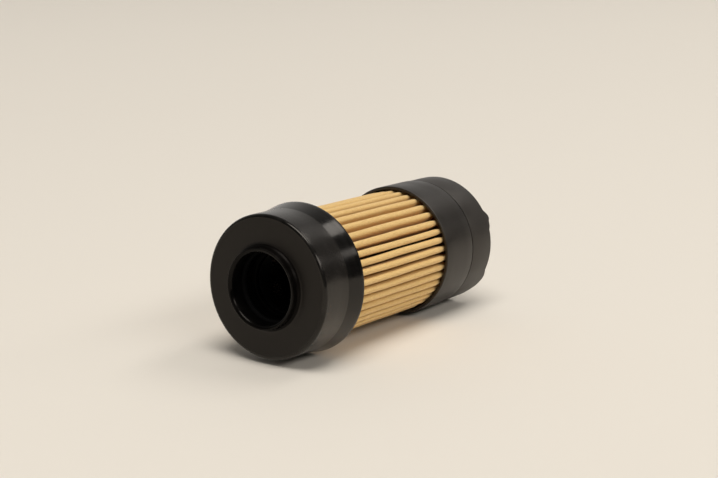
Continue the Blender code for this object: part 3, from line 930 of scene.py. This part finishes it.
def stage():
    """A plain pale sheet that both caps rest on, far wider than any view, its tone darkened towards +X
    and +Y as a painted fall-off of light.
    """
    rounding = 0.3
    clearance = 0.02 * MM
    reach = 6.0
    contact_near = to_world(NEAR_RIM - rounding, CAP_RADIUS, math.pi)
    contact_far = to_world(FAR_SHOULDER - rounding, FAR_RADIUS, math.pi)
    slope = (contact_far.z - contact_near.z) / (contact_far.x - contact_near.x)
    bm = bmesh.new()
    verts = []
    for x, y in ((-reach, -reach), (reach, -reach), (reach, reach), (-reach, reach)):
        verts.append(bm.verts.new((x, y, contact_near.z + (x - contact_near.x) * slope - clearance)))
    bm.faces.new(verts)
    mesh = bpy.data.meshes.new("floor")
    bm.to_mesh(mesh)
    bm.free()
    tone = (0.776, 0.731, 0.657)
    made, nodes = new_material("floor_card", tone, 0.75)
    # Painted light: the sheet's tone falls off along one direction across it, in two stretches
    inputs = ((0, nodes.coords), (1, (0.55, 0.83, 0.0)))
    toward = nodes.add("ShaderNodeVectorMath", inputs, operation="DOT_PRODUCT")
    painted_near_falloff = nodes.ramp(toward.outputs["Value"], -0.1, 0.5, 1.03, 0.965)
    painted_far_falloff = nodes.ramp(toward.outputs["Value"], 0.5, 1.6, 1.0, 0.94)
    shade = nodes.maths("MULTIPLY", painted_near_falloff, painted_far_falloff)
    painted_falloff_tone = nodes.add("ShaderNodeVectorMath", ((0, tone), ("Scale", shade)), operation="SCALE")
    nodes.shade("Base Color", painted_falloff_tone.outputs[0])
    cloud = nodes.noise(nodes.scaled((1, 1, 1)), 900.0, 3.0, 0.5)
    nodes.shade("Specular IOR Level", 0.25)
    nodes.shade("Normal", nodes.bump(cloud, 0.08, 0.0001))
    mesh.materials.append(made)
    floor = bpy.data.objects.new("floor", mesh)
    bpy.context.scene.collection.objects.link(floor)


def direction(azimuth, elevation):
    """A unit vector; azimuth 0 is +X and 90 is +Y."""
    a, e = math.radians(azimuth), math.radians(elevation)
    return Vector((math.cos(a) * math.cos(e), math.sin(a) * math.cos(e), math.sin(e)))


def area_light(name, place, run, width, length, radiance):
    """A soft panel aimed at the element, with its long side along run."""
    data = bpy.data.lights.new(name, "AREA")
    data.shape = "RECTANGLE"
    data.size = width * PANEL_SCALE
    data.size_y = length * PANEL_SCALE
    data.energy = radiance * math.pi * width * length * PANEL_SCALE ** 2
    data.color = WARM
    lamp = bpy.data.objects.new(name, data)
    bpy.context.scene.collection.objects.link(lamp)
    lamp.location = Vector(place) * PANEL_SCALE
    back = (lamp.location - Vector((0.0, 0.0, AXIS_HEIGHT))).normalized()
    long_side = (run - back * run.dot(back)).normalized()
    across = long_side.cross(back)
    lamp.rotation_mode = "QUATERNION"
    matrix = np.array([across, long_side, back]).T
    lamp.rotation_quaternion = Matrix(matrix.tolist()).to_quaternion()
    lamp.visible_camera = False
    return lamp


def lights():
    """An overhead key and long panels beyond the valve end and beside the element."""
    key = bpy.data.lights.new("key", "SUN")
    key.energy = 1.85
    key.angle = math.radians(38)
    key.color = WARM
    lamp = bpy.data.objects.new("key", key)
    bpy.context.scene.collection.objects.link(lamp)
    lamp.rotation_mode = "QUATERNION"
    lamp.rotation_quaternion = direction(-150, 70).to_track_quat("Z", "Y")
    slanted = Vector((0.915, 0.404, 0.0))
    level = Vector((1.0, 0.02, 0.0))
    panels = (
        ("panel_high", (0.563, -0.346, 1.0), slanted, 0.32, 0.62, 4.0),
        ("panel_high_dim", (1.226, -0.053, 1.0), slanted, 0.34, 0.85, 0.25),
        ("panel_low", (0.95, -1.42, 1.0), level, 0.27, 1.0, 2.2),
        ("panel_side", (-0.40, -1.42, 1.0), level, 0.42, 1.6, 4.5),
        ("panel_low_dim", (2.30, -1.42, 1.0), level, 0.3, 1.75, 0.22),
    )
    for name, place, run, width, length, radiance in panels:
        area_light(name, place, run, width, length, radiance)


def room():
    """The dim room round the element, which is paler behind it as the camera sees it."""
    world = bpy.data.worlds.new("studio")
    bpy.context.scene.world = world
    world.use_nodes = True
    tree = world.node_tree
    background = tree.nodes["Background"]
    coords = tree.nodes.new("ShaderNodeTexCoord")
    toward = tree.nodes.new("ShaderNodeVectorMath")
    toward.operation = "DOT_PRODUCT"
    tree.links.new(coords.outputs["Generated"], toward.inputs[0])
    toward.inputs[1].default_value = direction(50, 0)
    ramp = tree.nodes.new("ShaderNodeMapRange")
    tree.links.new(toward.outputs["Value"], ramp.inputs["Value"])
    ramp.inputs["From Min"].default_value = -0.3
    ramp.inputs["From Max"].default_value = 0.9
    curve = tree.nodes.new("ShaderNodeMath")
    curve.operation = "POWER"
    tree.links.new(ramp.outputs["Result"], curve.inputs[0])
    curve.inputs[1].default_value = 2.4
    strength = tree.nodes.new("ShaderNodeMath")
    strength.operation = "MULTIPLY_ADD"
    tree.links.new(curve.outputs[0], strength.inputs[0])
    strength.inputs[1].default_value = 0.58
    strength.inputs[2].default_value = 0.07
    tree.links.new(strength.outputs[0], background.inputs["Strength"])
    background.inputs["Color"].default_value = (*WARM, 1.0)


def camera():
    """The camera that sees the element as it lies, a little above and beside its near end."""
    data = bpy.data.cameras.new("camera")
    data.sensor_width = 36.0
    data.lens = 76.8
    data.clip_start = 0.01
    data.clip_end = 50.0
    view = bpy.data.objects.new("camera", data)
    bpy.context.scene.collection.objects.link(view)
    view.location = to_world(0.0, 0.0, 0.0) + Vector((-0.34156, -0.27034, 0.10575))
    forward = Vector((0.8038, 0.5588, -0.2042)).normalized()
    right = Vector((0.5738, -0.8188, 0.0182))
    right = (right - forward * right.dot(forward)).normalized()
    up = right.cross(forward)
    view.rotation_mode = "QUATERNION"
    view.rotation_quaternion = Matrix(np.array([right, up, -forward]).T.tolist()).to_quaternion()
    bpy.context.scene.camera = view


# Each black plastic: two tones, roughness, depth of skin and of tool lines, and gloss
PLASTICS = {
    "cap_satin": ((0.006, 0.005, 0.0042), (0.0095, 0.0082, 0.007), 0.20, 0.06, 0.05, 0.4),
    "cap_gloss": ((0.0022, 0.002, 0.0019), (0.0034, 0.0031, 0.0029), 0.11, 0.03, 0.5, 0.33),
    "cap_face": ((0.0042, 0.0032, 0.0026), (0.0064, 0.0052, 0.0044), 0.38, 0.10, 0.05, 0.3),
    # The bore's, collar's and collar side's plastics are darker copies that paint the shade in and round
    # the near cap's bore
    "cap_bore_shade": ((0.0007, 0.0006, 0.0006), (0.0012, 0.0011, 0.001), 0.5, 0.05, 0.1, 0.05),
    "collar": ((0.0015, 0.0013, 0.0012), (0.0024, 0.0021, 0.0019), 0.12, 0.03, 0.1, 0.10),
    "collar_side_shade": ((0.0020, 0.0016, 0.0014), (0.003, 0.0025, 0.0022), 0.3, 0.05, 0.1, 0.06),
    "far_satin": ((0.0085, 0.0068, 0.0056), (0.014, 0.0118, 0.0098), 0.36, 0.12, 0.05, 0.5),
    "cover_satin": ((0.0145, 0.0122, 0.0105), (0.0215, 0.0185, 0.016), 0.40, 0.12, 0.05, 0.5),
}


def main():
    plastics = {name: black_plastic(name, *values) for name, values in PLASTICS.items()}
    near_cap(plastics)
    far_cap(plastics["far_satin"])
    end_cover(plastics["cover_satin"])
    pleats(filter_paper())
    black_rubber = rubber()
    steel = metal("spring_steel", (0.50, 0.49, 0.47), (0.36, 0.34, 0.31), 0.3, 0.0001)
    # The core's steel gets a near-black tone: painted shade for the core deep inside the bore
    core_steel = metal("tinned_steel", (0.12, 0.115, 0.11), (0.06, 0.055, 0.05), 0.42, 0.0002)
    brass = metal("brass", (0.80, 0.58, 0.26), (0.52, 0.35, 0.14), 0.26, 0.00015)
    resin = adhesive()
    ring("bore_seal", 3.6, 11.5, 1.1, black_rubber, "nitrile_rubber", "bore_seal_ring")
    ring("cover_seal", 79.85, 18.45, 0.75, black_rubber, "nitrile_rubber", "cover_seal_ring")
    bond("near_bond", 9.0, resin, "near_bond_ring")
    bond("far_bond", 71.3, resin, "far_bond_ring")
    seam(resin)
    core_tube(core_steel)
    cage(plastics["far_satin"])
    seat(brass)
    open_ring("cage_ring", (85.5, 86.6), (13.8, 17.1), (200.0, 520.0), steel, "cage_retaining_ring")
    open_ring("stem_snap_clip", (64.2, 64.8), (1.4, 3.4), (30.0, 330.0), steel, "stem_clip", VALVE)
    coil(steel)
    poppet(acetal(), steel, black_rubber)
    stage()
    lights()
    room()
    camera()
    bpy.context.scene.view_settings.view_transform = "Standard"


main()
